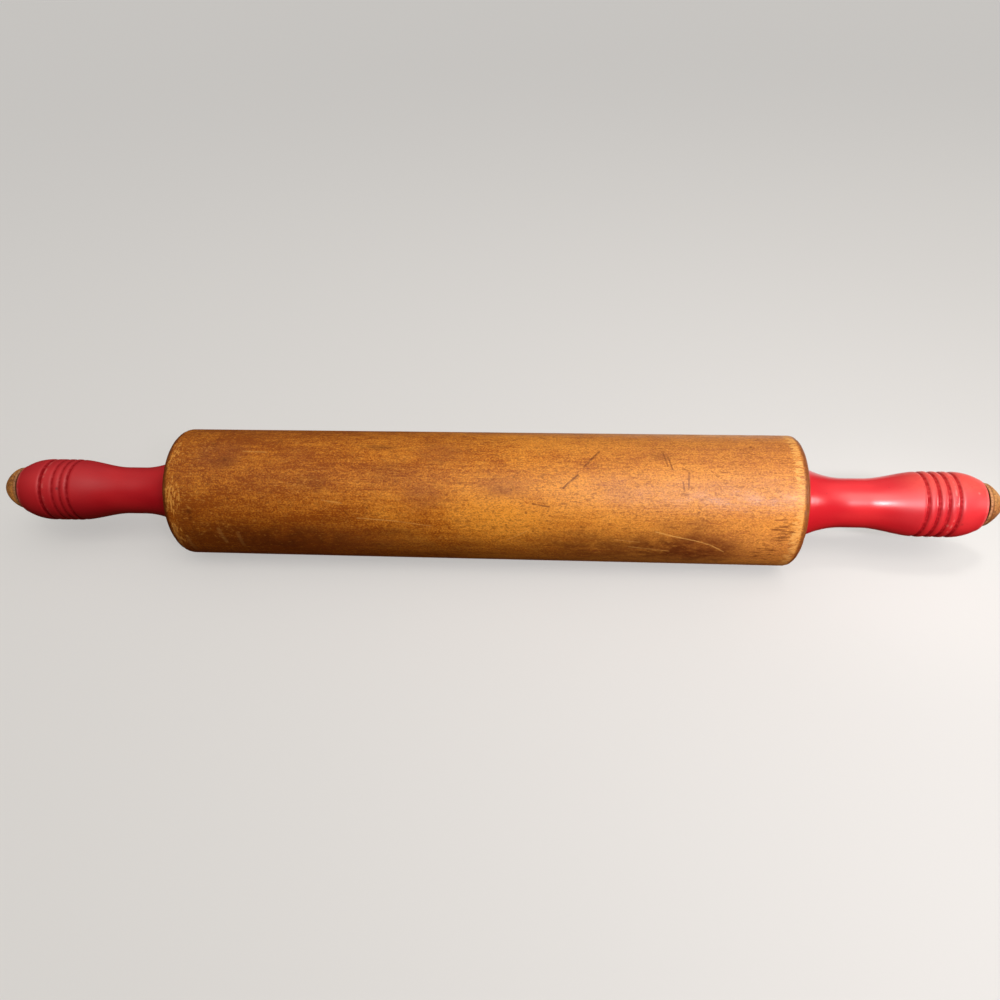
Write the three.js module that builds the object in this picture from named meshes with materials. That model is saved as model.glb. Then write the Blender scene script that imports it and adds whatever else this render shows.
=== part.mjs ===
// Wooden rolling pin: a turned roller that spins on a steel axle between two loose painted handles.
// Millimetres, +Z up. The axle lies along X, and the roller's lowest facet rests on the plane Z = 0.
// A station is a distance outwards along the axle from the roller's end face.
import * as THREE from "three";

// Roller and the axle that carries it.
const rollerLength = 254;
const rollerRadius = 26.7;
const rollerEdgeRound = 2.9;
const rollerBoreRadius = 5.5;
const axleRadius = 4;
const studRadius = 2.5;
const bushRadius = 8;
const bushLength = 22;

// Handle outline, from the flared foot over the neck and the belly to the domed end.
const handleFoot = 1.8;
const footLipRadius = 14.8;
const footLipRound = 1.6;
const coveRise = 6.75;
const neckStart = 21;
const neckEnd = 28;
const neckRadius = 10.1;
const bellyStart = 51.5;
const bellyEnd = 62;
const bellyRadius = 13.34;
const domeReach = 17.5;
const handleEnd = 73.2;
const endChamfer = 0.4;

// Turned grooves: each handle was cut by hand, so their stations differ a little.
const grooveStations = {
  left: [48.8, 51.9, 55.3, 60.8],
  right: [49.2, 53.2, 57, 61.2],
};
const grooveHalfWidth = 1.3;
const grooveDepth = 0.45;

// Wooden tip that hides the nut.
const tipGap = 0.6;
const tipRadius = 9.25;
const tipCollar = 1.9;
const tipHeight = 9.5;
const tipRoundness = 1.4;

// Washers and nuts.
const washerThickness = 1.2;
const thrustWasherRadius = 11;
const endWasherRadius = 7.4;
const nutAcrossFlats = 8;
const nutThickness = 4;
const shoulderProud = 0.1;
const studProud = 1.3;

// Room between pieces that touch, and the looser room in which the handles turn.
const fitGap = 0.2;
const faceGap = 0.3;
const handlePlay = 0.45;

// Stations worked out from the sizes above.
const shoulder = handleEnd + shoulderProud;
const endWasherStart = shoulder + fitGap;
const nutCornerRadius = nutAcrossFlats / Math.sqrt(3);
const nutStart = endWasherStart + washerThickness + fitGap;
const nutEnd = nutStart + nutThickness;
const studEnd = nutEnd + studProud;
const tipStart = handleEnd + tipGap;
const tipRecessFloor = endWasherStart + washerThickness + faceGap;
const tipSocketFloor = nutEnd + faceGap;

// Facets round each kind of piece, and steps along each stretch of an outline.
const rollerSides = 48;
const handleSides = 36;
const hardwareSides = 24;
const roundSteps = 4;
const coveSteps = 6;
const swellSteps = 8;
const grooveSteps = 4;
const domeSteps = 7;

const finishes = {
  rollerWood: { color: 0xbe7f40, roughness: 0.5, metalness: 0 },
  redPaint: { color: 0xc2242a, roughness: 0.3, metalness: 0 },
  tipWood: { color: 0xa8743f, roughness: 0.7, metalness: 0 },
  steel: { color: 0x9b9da0, roughness: 0.35, metalness: 1 },
  brass: { color: 0xb08d4c, roughness: 0.4, metalness: 1 },
  fibre: { color: 0x54382a, roughness: 0.8, metalness: 0 },
};

// A solid of revolution about X, from a profile of [along, radius] points that runs outwards over
// the outside and back through the bore. Facets lie on the stated radii, so no bore is tighter.
function turned(profile, sides) {
  const cornerFactor = 1 / Math.cos(Math.PI / sides);
  const points = profile.map(([along, radius]) => new THREE.Vector2(radius * cornerFactor, along));
  const geometry = new THREE.LatheGeometry(points, sides, Math.PI / sides);
  return geometry.rotateZ(-Math.PI / 2);
}

// Evenly spaced numbers from first to last.
function spread(first, last, steps) {
  return Array.from({ length: steps + 1 }, (_, step) => first + ((last - first) * step) / steps);
}

// Points of a quarter round about a centre [along, radius], from one angle to another.
function roundOff([along, radius], size, fromAngle, toAngle) {
  return spread(fromAngle, toAngle, roundSteps).map((angle) => [
    along + size * Math.cos(angle),
    radius + size * Math.sin(angle),
  ]);
}

function named(name, geometry, finish) {
  const mesh = new THREE.Mesh(geometry, new THREE.MeshStandardMaterial(finish));
  mesh.name = name;
  return mesh;
}

// A plain ring: bush or washer.
function ring(start, length, outerRadius, boreRadius) {
  const profile = [
    [start, boreRadius],
    [start, outerRadius],
    [start + length, outerRadius],
    [start + length, boreRadius],
    [start, boreRadius],
  ];
  return turned(profile, hardwareSides);
}

// The roller is bored right through, and bored wider at both ends to seat the bushes.
function rollerGeometry() {
  const half = rollerLength / 2;
  const seatRadius = bushRadius + fitGap;
  const seatFloor = half - bushLength - 2 * fitGap;
  const roundAlong = half - rollerEdgeRound;
  const roundRadius = rollerRadius - rollerEdgeRound;
  const profile = [
    [-half, seatRadius],
    ...roundOff([-roundAlong, roundRadius], rollerEdgeRound, Math.PI, Math.PI / 2),
    ...roundOff([roundAlong, roundRadius], rollerEdgeRound, Math.PI / 2, 0),
    [half, seatRadius],
    [seatFloor, seatRadius],
    [seatFloor, rollerBoreRadius],
    [-seatFloor, rollerBoreRadius],
    [-seatFloor, seatRadius],
    [-half, seatRadius],
  ];
  return turned(profile, rollerSides);
}

// The axle steps down at both ends to a stud for the nut, and the end washer seats on the step.
function axleGeometry() {
  const half = rollerLength / 2;
  const profile = [
    [-half - studEnd, 0],
    [-half - studEnd, studRadius],
    [-half - shoulder, studRadius],
    [-half - shoulder, axleRadius],
    [half + shoulder, axleRadius],
    [half + shoulder, studRadius],
    [half + studEnd, studRadius],
    [half + studEnd, 0],
  ];
  return turned(profile, hardwareSides);
}

// Radius of the handle before its grooves are cut.
function plainHandleRadius(station) {
  if (station < neckStart) {
    return neckRadius + coveRise * (1 - station / neckStart) ** 2;
  }
  if (station < bellyStart) {
    return neckRadius + (bellyRadius - neckRadius) * THREE.MathUtils.smoothstep(station, neckEnd, bellyStart);
  }
  const domePart = Math.max(0, station - bellyEnd) / domeReach;
  return bellyRadius * Math.sqrt(1 - domePart ** 2);
}

function handleRadius(station, grooves) {
  let cut = 0;
  for (const groove of grooves) {
    const offset = Math.abs(station - groove) / grooveHalfWidth;
    if (offset < 1) {
      cut = Math.max(cut, grooveDepth * Math.cos((offset * Math.PI) / 2) ** 2);
    }
  }
  return plainHandleRadius(station) - cut;
}

function handleGeometry(grooves) {
  const boreRadius = axleRadius + handlePlay;
  const lipStation = handleFoot + footLipRound;
  const firstCut = grooves[0] - grooveHalfWidth;
  const lastCut = grooves.at(-1) + grooveHalfWidth;
  const chamferStation = handleEnd - endChamfer;
  const stations = [
    ...spread(lipStation, neckStart, coveSteps),
    ...spread(neckEnd, firstCut, swellSteps).slice(0, -1),
    ...grooves.flatMap((groove) => spread(groove - grooveHalfWidth, groove + grooveHalfWidth, grooveSteps)),
    ...spread(lastCut, chamferStation, domeSteps).slice(1),
  ];
  const profile = [
    [handleFoot, boreRadius],
    ...roundOff([lipStation, footLipRadius - footLipRound], footLipRound, Math.PI, Math.PI / 2).slice(0, -1),
    ...stations.map((station) => [station, handleRadius(station, grooves)]),
    [handleEnd, plainHandleRadius(chamferStation) - endChamfer],
    [handleEnd, boreRadius],
    [handleFoot, boreRadius],
  ];
  return turned(profile, handleSides);
}

function nutGeometry() {
  const corners = spread(0, 2 * Math.PI, 6).slice(0, -1).map((angle) => [
    nutCornerRadius * Math.cos(angle),
    nutCornerRadius * Math.sin(angle),
  ]);
  const hexagon = new THREE.Shape(corners.map(([x, y]) => new THREE.Vector2(x, y)));
  hexagon.holes.push(new THREE.Path().absarc(0, 0, studRadius + fitGap, 0, 2 * Math.PI, true));
  const geometry = new THREE.ExtrudeGeometry(hexagon, {
    depth: nutThickness,
    bevelEnabled: false,
    curveSegments: hardwareSides / 2,
  });
  return geometry.rotateY(Math.PI / 2).translate(nutStart, 0, 0);
}

// The tip is a cap: a recess over the end washer, a socket over the nut and a hole for the stud.
function tipGeometry() {
  const domeStart = tipStart + tipCollar;
  const power = 2 / tipRoundness;
  const recessRadius = endWasherRadius + faceGap;
  const socketRadius = nutCornerRadius + faceGap;
  const holeRadius = studRadius + faceGap;
  const holeFloor = studEnd + faceGap;
  const dome = spread(0, Math.PI / 2, domeSteps).slice(0, -1).map((angle) => [
    domeStart + tipHeight * Math.sin(angle) ** power,
    tipRadius * Math.cos(angle) ** power,
  ]);
  const outside = [
    [tipStart, recessRadius],
    [tipStart, tipRadius - endChamfer],
    [tipStart + endChamfer, tipRadius],
    ...dome,
    [domeStart + tipHeight, 0],
  ];
  const inside = [
    [holeFloor, 0],
    [holeFloor, holeRadius],
    [tipSocketFloor, holeRadius],
    [tipSocketFloor, socketRadius],
    [tipRecessFloor, socketRadius],
    [tipRecessFloor, recessRadius],
    [tipStart, recessRadius],
  ];
  return turned([...outside, ...inside], handleSides);
}

// Everything at one end of the pin, made for the right end and turned about Z for the left.
function endPieces(side) {
  const bush = ring(-bushLength - fitGap, bushLength, bushRadius, axleRadius + fitGap);
  const thrustWasher = ring(faceGap, washerThickness, thrustWasherRadius, axleRadius + faceGap);
  const endWasher = ring(endWasherStart, washerThickness, endWasherRadius, studRadius + fitGap);
  const end = new THREE.Group();
  end.add(
    named(`${side}_bush`, bush, finishes.brass),
    named(`${side}_thrust_washer`, thrustWasher, finishes.fibre),
    named(`${side}_handle`, handleGeometry(grooveStations[side]), finishes.redPaint),
    named(`${side}_end_washer`, endWasher, finishes.steel),
    named(`${side}_nut`, nutGeometry(), finishes.steel),
    named(`${side}_tip`, tipGeometry(), finishes.tipWood),
  );
  return end;
}

const rollingPin = new THREE.Group();
rollingPin.position.z = rollerRadius;
rollingPin.add(named("roller", rollerGeometry(), finishes.rollerWood));
rollingPin.add(named("axle", axleGeometry(), finishes.steel));

const rightEnd = endPieces("right");
rightEnd.position.x = rollerLength / 2;
rollingPin.add(rightEnd);

const leftEnd = endPieces("left");
leftEnd.position.x = -rollerLength / 2;
leftEnd.rotation.z = Math.PI;
rollingPin.add(leftEnd);

export default rollingPin;
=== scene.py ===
# Looks of a wooden rolling pin: a worn bare roller, red painted handles, bare tips and the hardware inside.
# Metres. The axle lies along X. A station is a distance outwards along it from the roller's end face,
# and an angle round the axle runs from the top (0) over the front (90) to the underside (180).
import math

import bpy
import numpy as np
from mathutils import Matrix, Vector, noise


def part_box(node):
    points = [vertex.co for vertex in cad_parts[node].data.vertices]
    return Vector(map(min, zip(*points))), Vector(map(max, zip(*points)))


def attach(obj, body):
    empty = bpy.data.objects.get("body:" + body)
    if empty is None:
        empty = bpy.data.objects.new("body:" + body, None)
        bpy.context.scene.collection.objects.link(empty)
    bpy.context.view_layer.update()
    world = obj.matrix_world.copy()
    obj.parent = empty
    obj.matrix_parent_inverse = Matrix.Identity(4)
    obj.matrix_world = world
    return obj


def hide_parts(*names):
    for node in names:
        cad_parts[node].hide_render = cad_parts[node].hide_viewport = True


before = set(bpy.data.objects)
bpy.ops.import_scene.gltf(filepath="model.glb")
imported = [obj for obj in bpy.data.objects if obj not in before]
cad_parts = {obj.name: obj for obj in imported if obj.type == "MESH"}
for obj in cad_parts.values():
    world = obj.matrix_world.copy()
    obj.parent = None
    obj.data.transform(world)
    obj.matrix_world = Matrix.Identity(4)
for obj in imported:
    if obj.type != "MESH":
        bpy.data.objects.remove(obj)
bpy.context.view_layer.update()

rollerLow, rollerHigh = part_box("roller")
rollerRadius = (rollerHigh.z - rollerLow.z) / 2
rollerHalf = (rollerHigh.x - rollerLow.x) / 2
axleHeight = (rollerHigh.z + rollerLow.z) / 2
tiny = 1e-9
millimetre = 0.001
sharpAngle = 38  # degrees; turned edges sharper than this stay crisp
print("frame loaded:", len(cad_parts), "nodes, roller", round(2 * rollerHalf, 4), "m long")


def spread(first, last, steps):
    return [first + (last - first) * step / steps for step in range(steps + 1)]


def ease(value, low, high):
    share = np.clip((value - low) / (high - low), 0, 1)
    return share * share * (3 - 2 * share)


def ripple(along, around, radius, size, seed):
    # smooth unevenness from -1 to 1 on a turned surface, with features about as large as size
    spots = zip(np.broadcast_to(along, around.shape), radius * np.sin(around), radius * np.cos(around))
    shift = Vector((seed, seed, seed))
    return np.array([noise.noise(Vector(spot) / size + shift, noise_basis="PERLIN_NEW") for spot in spots])


def addObject(name, data):
    thing = bpy.data.objects.new(name, data)
    bpy.context.scene.collection.objects.link(thing)
    return thing


def strip(ring, nextRing):
    # faces between two rings of vertices; a ring of one vertex is a point on the axle's line
    if len(ring) == 1 and len(nextRing) == 1:
        return []
    faces = []
    for index in range(max(len(ring), len(nextRing))):
        following = (index + 1) % max(len(ring), len(nextRing))
        if len(ring) == 1:
            faces.append((ring[0], nextRing[following], nextRing[index]))
        elif len(nextRing) == 1:
            faces.append((ring[index], ring[following], nextRing[0]))
        else:
            faces.append((ring[index], ring[following], nextRing[following], nextRing[index]))
    return faces


def turnedPiece(name, outside, inside, sides, wear=None):
    # outside and inside are rows of (along, radius); wear gives how much wood is gone at each spot outside
    around = np.arange(sides) * 2 * math.pi / sides
    vertices, rings = [], []
    for index, (along, radius) in enumerate(outside + inside):
        first = len(vertices)
        if radius < tiny:
            vertices.append((along, 0, axleHeight))
        else:
            gone = wear(along, around, radius) if wear and index < len(outside) else 0
            reach = np.full(sides, radius) - gone
            ys, zs = -reach * np.sin(around), axleHeight + reach * np.cos(around)
            vertices.extend(zip([along] * sides, ys.tolist(), zs.tolist()))
        rings.append(list(range(first, len(vertices))))
    faces = [face for pair in zip(rings, rings[1:] + rings[:1]) for face in strip(*pair)]
    if outside[0][0] > outside[-1][0]:
        faces = [face[::-1] for face in faces]
    mesh = bpy.data.meshes.new(name)
    mesh.from_pydata(vertices, [], faces)
    mesh.polygons.foreach_set("use_smooth", [True] * len(mesh.polygons))
    mesh.set_sharp_from_angle(angle=math.radians(sharpAngle))
    return addObject(name, mesh)


def markVertices(piece, name, valueAt):
    # keeps a number on each vertex, worked out from its distance along in mm and its angle in degrees
    places = np.empty(3 * len(piece.data.vertices))
    piece.data.vertices.foreach_get("co", places)
    xs, ys, zs = places.reshape(-1, 3).T
    angle = np.degrees(np.arctan2(-ys, zs - axleHeight)) % 360
    values = piece.data.attributes.new(name, "FLOAT", "POINT")
    values.data.foreach_set("value", valueAt(xs / millimetre, angle))


def dress(piece, material, body, node):
    piece.data.materials.append(material)
    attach(piece, body)
    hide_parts(node)


def startMaterial(name):
    material = bpy.data.materials.new(name)
    material.use_nodes = True
    tree = material.node_tree
    tree.nodes.clear()
    shader = tree.nodes.new("ShaderNodeBsdfPrincipled")
    output = tree.nodes.new("ShaderNodeOutputMaterial")
    tree.links.new(shader.outputs[0], output.inputs[0])
    return material, tree, shader


def feed(tree, shader, colour, rough, normal):
    for name, socket in (("Base Color", colour), ("Roughness", rough), ("Normal", normal)):
        tree.links.new(socket, shader.inputs[name])


def addNode(tree, kind, inputs, **settings):
    node = tree.nodes.new("ShaderNode" + kind)
    for key, value in settings.items():
        setattr(node, key, value)
    for key, value in inputs.items():
        if isinstance(value, bpy.types.NodeSocket):
            tree.links.new(value, node.inputs[key])
        else:
            node.inputs[key].default_value = value
    return node


def calc(tree, operation, first, second=0.0, third=0.0, clamp=False):
    node = addNode(tree, "Math", {0: first, 1: second, 2: third}, operation=operation, use_clamp=clamp)
    return node.outputs[0]


def times(tree, first, second):
    return calc(tree, "MULTIPLY", first, second)


def vectorCalc(tree, operation, first, second=(0, 0, 0)):
    node = addNode(tree, "VectorMath", {0: first, 1: second}, operation=operation)
    return node.outputs["Value" if operation in ("DOT_PRODUCT", "DISTANCE", "LENGTH") else "Vector"]


def softStep(tree, value, low, high, start=0.0, end=1.0):
    inputs = {"Value": value, "From Min": low, "From Max": high, "To Min": start, "To Max": end}
    return addNode(tree, "MapRange", inputs, interpolation_type="SMOOTHSTEP").outputs[0]


def grain(tree, spot, size, stretch=1.0, detail=3.0, rough=0.55, shift=0.0):
    # noise with features about as wide as size and stretch times as long along the axle
    scaled = vectorCalc(tree, "MULTIPLY", spot, (1 / (size * stretch), 1 / size, 1 / size))
    moved = vectorCalc(tree, "ADD", scaled, (shift, shift * 1.7, shift * 2.3))
    inputs = {"Vector": moved, "Scale": 1.0, "Detail": detail, "Roughness": rough}
    return addNode(tree, "TexNoise", inputs).outputs[0]


def opaque(colour):
    # a colour that comes from another node stays as it is
    return colour if isinstance(colour, bpy.types.NodeSocket) else (*colour, 1.0)


def blendColour(tree, share, under, over):
    return addNode(tree, "Mix", {0: share, 6: opaque(under), 7: opaque(over)}, data_type="RGBA").outputs[2]


def colourRamp(tree, value, stops):
    node = addNode(tree, "ValToRGB", {0: value})
    ramp = node.color_ramp
    while len(ramp.elements) < len(stops):
        ramp.elements.new(0.5)
    for element, (place, colour) in zip(ramp.elements, stops):
        element.position = place
        element.color = opaque(colour)
    return node.outputs[0]


def pinSpot(tree):
    # place on the piece as a vector from the axle's line, the distance along it and the angle round it
    place = addNode(tree, "TexCoord", {}).outputs["Object"]
    spot = vectorCalc(tree, "SUBTRACT", place, (0, 0, axleHeight))
    parts = addNode(tree, "SeparateXYZ", {0: spot}).outputs
    toFront = times(tree, parts[1], -1.0)
    around = calc(tree, "ARCTAN2", toFront, parts[2])
    return spot, parts[0], around


def vertexMark(tree, name):
    return addNode(tree, "Attribute", {}, attribute_name=name).outputs["Fac"]


def bump(tree, height, strength, distance):
    return addNode(tree, "Bump", {"Height": height, "Strength": strength, "Distance": distance}).outputs[0]


# the roller follows its solid, and wear only takes wood away
rollerShape = {
    "edgeRound": 2.9 * millimetre,
    "boreRadius": 5.5 * millimetre,
    "seatRadius": 8.2 * millimetre,
    "seatDepth": 22.4 * millimetre,
    "sides": 288,
    "rowStep": 0.9 * millimetre,
    "edgeSteps": 10,
    "faceSteps": 8,
    "unevenness": 0.05 * millimetre,
    "unevenNoise": (0.02, 3.1),  # size and seed
    "edgeLoss": 0.5 * millimetre,  # most that knocks have taken off the edges
    "edgeNoise": (0.0035, 7.7),
    "edgeSpared": 0.15,  # noise below this takes nothing off
    "edgeWorst": 0.4 * millimetre,  # from the end face
    # knocks in the skin: along, angle, size and depth
    "knocks": [
        (13.7, 50.4, 1.3, 0.12), (14.5, 39.4, 1.1, 0.1), (19.6, 69.4, 1.0, 0.1), (41.0, 81.0, 1.0, 0.09),
        (-42.8, 67.6, 1.1, 0.1), (106.1, 4.8, 1.1, 0.1), (104.3, 16.2, 0.9, 0.08), (-115.7, 77.0, 2.0, 0.14),
        (-70.0, 205.0, 1.6, 0.12), (35.0, 240.0, 1.8, 0.14), (88.0, 300.0, 1.4, 0.12),
        (-12.0, 285.0, 1.3, 0.1),
    ],
}

rollerLook = {
    "honey": (0.82, 0.320, 0.034),
    "gold": (0.66, 0.238, 0.022),
    "tan": (0.48, 0.142, 0.011),
    "russet": (0.28, 0.064, 0.005),
    "plum": (0.26, 0.066, 0.017),
    "umber": (0.125, 0.025, 0.003),
    "pore": (0.185, 0.040, 0.004),
    "bare": (0.80, 0.41, 0.105),
    "fleck": (0.70, 0.30, 0.052),
    # a paler, greyer tint that paints the sheen on the right end
    "sheenTint": (0.74, 0.34, 0.115),
    "sheenTintRight": 0.22,  # share of the paler tint at the right end, which paints the sheen there
    "endGrain": (0.20, 0.085, 0.026),
    "drift": (0.410, 0.600, 0.560),  # tone of the wood on the left, past the middle and on the right
    "roughness": (0.36, 0.52),
    "gloss": (0.20, 0.36),  # from left to right
    "heart": (0, 0.012, -0.034),  # middle of the year rings on the end faces
    "ringSpacing": 0.0021,
    # grain: size in metres, stretch along the axle, detail, roughness and, where needed, a shift
    "grain": {
        "broad": (0.020, 2.2, 4, 0.6),
        "mottle": (0.0046, 1.8, 5, 0.70, 11.0),
        "band": (0.0018, 12.0, 2, 0.5, 23.0),
        "streak": (0.00055, 18.0, 3, 0.6, 5.0),
        "pores": (0.00050, 1.9, 2, 0.6, 2.0),
        "coarsePores": (0.0011, 1.9, 3, 0.65, 8.0),
        "lathe": (0.016, 0.13, 4, 0.65, 40.0),
        "sand": (0.00055, 1.3, 3, 0.6, 61.0),
        "flecks": (0.0007, 2.2, 3, 0.6, 19.0),
        "torn": (0.0009, 7.0, 3, 0.6, 14.0),
        "chips": (0.0024, 0.26, 3, 0.65, 52.0),
        "ragged": (0.0009, 3.5, 4, 0.7, 31.0),
    },
    "toneWeights": (0.55, 0.52, 0.24, 0.38, 0.64, 0.9),  # of broad, mottle, band, streak, pores and sand
    # masks: where one begins, where it is full, and its cover at both
    "latheWeight": (-0.092, -0.120, 0.10, 0.42),
    "stainBreaks": (0.34, 0.62, 0.35, 1.0),
    "markBreaks": (0.36, 0.56, 0.6, 1.0),
    "poreDirt": (0.58, 0.78, 0.0, 0.55),
    "coarseDirt": (0.66, 0.84, 0.0, 0.52),
    "fleckCover": (0.57, 0.74, 0.0, 0.5),
    "tornCover": (0.74, 0.90, 0.0, 0.75),
    "darkEndBand": (-0.0019, -0.0006, 0.82),  # from the end face, and its cover
    # patches: along in mm, angle in degrees, half length in mm, half width in degrees and strength
    "plumStains": [
        (-104, 21, 16, 22, 0.75), (-15, 16, 14, 18, 0.5), (-22, 57, 13, 16, 0.5), (10, 49, 15, 13, 0.6),
        (55, 53, 9, 13, 0.30), (-72, 22, 12, 14, 0.4), (-60, 102, 50, 24, 0.5), (108, 34, 14, 22, 0.12),
        (88, 104, 22, 24, 0.9),
        (-90, 190, 26, 30, 0.6), (30, 220, 30, 26, 0.5), (84, 285, 22, 30, 0.55), (-40, 300, 26, 24, 0.5),
    ],
    # dark stains; along the lower front, at about 80 to 112 degrees, they also paint shade
    "darkStainsAndShade": [
        (-84, 99, 60, 27, 0.94), (-15, 112, 56, 24, 0.5), (76, 104, 42, 28, 0.92), (82, 80, 20, 14, 0.4),
        (48, 104, 46, 26, 0.76), (-34, 36, 18, 16, 0.3), (-34, 91, 22, 10, 0.5), (89, 110, 22, 22, 0.95),
        (80, 95, 28, 18, 0.75), (-102, 29, 8, 10, 0.4), (-112, 100, 16, 16, 0.6), (-58, 80, 16, 8, 0.4),
        (-66, 48, 12, 16, 0.3), (-116, 77, 7, 12, 0.5), (-40, 11, 14, 6, 0.35), (72, 18, 10, 8, 0.3),
        (-30, 175, 60, 22, 0.5), (60, 200, 44, 30, 0.6), (-100, 250, 24, 34, 0.5), (10, 330, 40, 20, 0.35),
    ],
    "tornGrain": [
        (118, 82, 9, 22, 1.0), (119, 30, 9, 30, 0.45), (114, 108, 12, 20, 0.8), (-121, 100, 9, 30, 0.5),
        (-121, 30, 8, 30, 0.4), (118, 190, 12, 40, 0.9), (-119, 220, 12, 40, 0.8), (117, 300, 12, 40, 0.7),
    ],
    "paleAreas": [
        (6, 74, 28, 32, 1.5), (-112, 54, 10, 14, 0.7), (-72, 68, 18, 12, 0.6), (-34, 72, 14, 12, 0.6),
        (42, 54, 22, 24, 0.9), (114, 66, 12, 22, 0.4), (-30, 200, 40, 40, 0.6), (70, 280, 40, 40, 0.6),
    ],
    "paleFlecks": [
        (-76, 50, 22, 20, 0.6), (-106, 92, 18, 24, 0.5), (-48, 62, 30, 24, 0.3), (40, 96, 40, 20, 0.4),
        (-116, 20, 14, 24, 0.8), (-118, 60, 12, 36, 0.7), (96, 50, 26, 20, 0.7), (-60, 240, 40, 30, 0.6),
        (70, 250, 30, 30, 0.6),
    ],
    "rubbedEdge": [
        (-123, 60, 7, 24, 0.68), (-124, 24, 8, 30, 0.46), (-124, 98, 7, 26, 0.44), (-124, 200, 8, 50, 0.6),
        (-124, 300, 8, 50, 0.5),
    ],
    # on the right end: begins, full, full, ends (mm along) and strength
    "rubbedBand": (118.5, 122.6, 123.8, 125.0, 0.76),
    # scratches: points of (along in mm, angle in degrees), width in mm and how strong
    "darkScratches": [
        ([(47.5, 13.7), (44.7, 21.0), (41.6, 29.5)], 0.65, 0.76),
        ([(39.3, 36.8), (36.8, 41.5), (33.8, 48.1)], 0.65, 0.8),
        ([(22.1, 61.7), (28.8, 64.0)], 0.5, 0.72),
        ([(72.1, 13.9), (73.6, 27.5)], 0.5, 0.65),
        ([(73.9, 18.4), (75.3, 30.5)], 0.5, 0.7),
        ([(81.5, 33.6), (81.2, 47.3)], 0.5, 0.7),
        ([(79.2, 41.5), (79.6, 48.5)], 0.45, 0.6),
        ([(-44.5, 10.2), (-35.0, 12.0)], 1.1, 0.45),
        ([(-43.0, 105.1), (-39.6, 104.8)], 0.6, 0.6),
        ([(-52.2, 70.4), (-50.6, 74.2)], 0.45, 0.6),
        ([(-20.0, 220.0), (-6.0, 236.0)], 0.5, 0.6),
        ([(60.0, 262.0), (71.0, 250.0)], 0.5, 0.6),
        ([(-88.0, 316.0), (-76.0, 320.0)], 0.5, 0.5),
    ],
    "paleScratches": [
        ([(-47.1, 76.7), (-32.0, 78.8)], 0.32, 0.55),
        ([(-32.0, 78.8), (-17.8, 82.9)], 0.32, 0.35),
        ([(69.8, 84.3), (76.1, 88.0), (86.4, 93.2), (91.2, 96.9), (95.2, 102.2), (97.1, 105.5)], 0.38, 0.66),
        ([(12.0, 96.0), (20.0, 86.0)], 0.35, 0.3),
        ([(54.0, 93.0), (64.0, 95.5)], 0.35, 0.35),
        ([(60.0, 101.0), (76.0, 106.0)], 0.4, 0.35),
        ([(-123.2, 86.6), (-124.5, 118.0)], 1.3, 0.26),
        ([(-119.6, 100.0), (-120.0, 122.0)], 1.2, 0.2),
        ([(-105.0, 90.3), (-103.8, 106.7)], 1.2, 0.2),
        ([(-97.5, 94.8), (-97.3, 111.5)], 1.2, 0.16),
        ([(-95.0, 18.0), (-85.0, 18.6)], 0.4, 0.35),
        ([(-61.0, 61.5), (-53.0, 64.0)], 0.4, 0.3),
        ([(20.0, 205.0), (52.0, 212.0)], 0.35, 0.6),
        ([(-60.0, 270.0), (-44.0, 276.0), (-30.0, 279.0)], 0.35, 0.6),
    ],
    # dark spots: along in mm, angle in degrees, size in mm and how strong
    "spots": [
        (-42.8, 67.6, 0.8, 0.8), (19.6, 69.4, 0.7, 0.8), (13.7, 50.4, 0.9, 0.7), (14.5, 39.4, 0.8, 0.6),
        (41.0, 81.0, 0.8, 0.7), (106.1, 4.8, 0.8, 0.8), (104.3, 16.2, 0.7, 0.6), (-115.7, 74.0, 1.6, 0.6),
        (-115.4, 80.0, 1.5, 0.6), (-108.3, 9.5, 1.6, 0.5), (-101.5, 26.5, 1.6, 0.5), (-70.0, 205.0, 1.2, 0.6),
        (35.0, 240.0, 1.3, 0.6), (88.0, 300.0, 1.1, 0.6), (-107.4, 49.7, 1.0, 0.55), (-99.2, 61.1, 1.0, 0.5),
    ],
}


def stainDepth(patches, along, angle):
    depth = np.zeros(len(along))
    for middle, turn, halfLength, halfWidth, strength in patches:
        offTurn = (angle - turn + 180) % 360 - 180
        away = np.hypot((along - middle) / halfLength, offTurn / halfWidth)
        depth = np.maximum(depth, strength * ease(away, 1.0, 0.2))
    return depth


def rubbedBandDepth(along, angle):
    begins, fullFrom, fullTo, ends, strength = rollerLook["rubbedBand"]
    return strength * ease(along, begins, fullFrom) * ease(along, ends, fullTo)


def skinPoint(along, angle):
    # a spot on the roller's unrolled skin
    return Vector((along * millimetre, math.radians(angle) * rollerRadius, 0))


def rollerWear(along, around, radius):
    shape = rollerShape
    gone = shape["unevenness"] * (1 + ripple(along, around, radius, *shape["unevenNoise"])) / 2
    edgeReach = 2 * shape["edgeRound"]
    edge = float(ease(abs(along), rollerHalf - edgeReach, rollerHalf - shape["edgeWorst"]))
    if edge > 0 and radius > rollerRadius - edgeReach:
        bites = np.clip(ripple(along, around, radius, *shape["edgeNoise"]) - shape["edgeSpared"], 0, 1)
        gone = gone + edge * shape["edgeLoss"] * bites
    for knockAlong, angle, size, depth in shape["knocks"]:
        apart = along - knockAlong * millimetre
        if abs(apart) < 2 * size * millimetre:
            turn = np.abs((around - math.radians(angle) + math.pi) % (2 * math.pi) - math.pi)
            away = np.hypot(apart, turn * radius) / (size * millimetre)
            gone = gone + depth * millimetre * np.exp(-away ** 2 * 2)
    return gone


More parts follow.
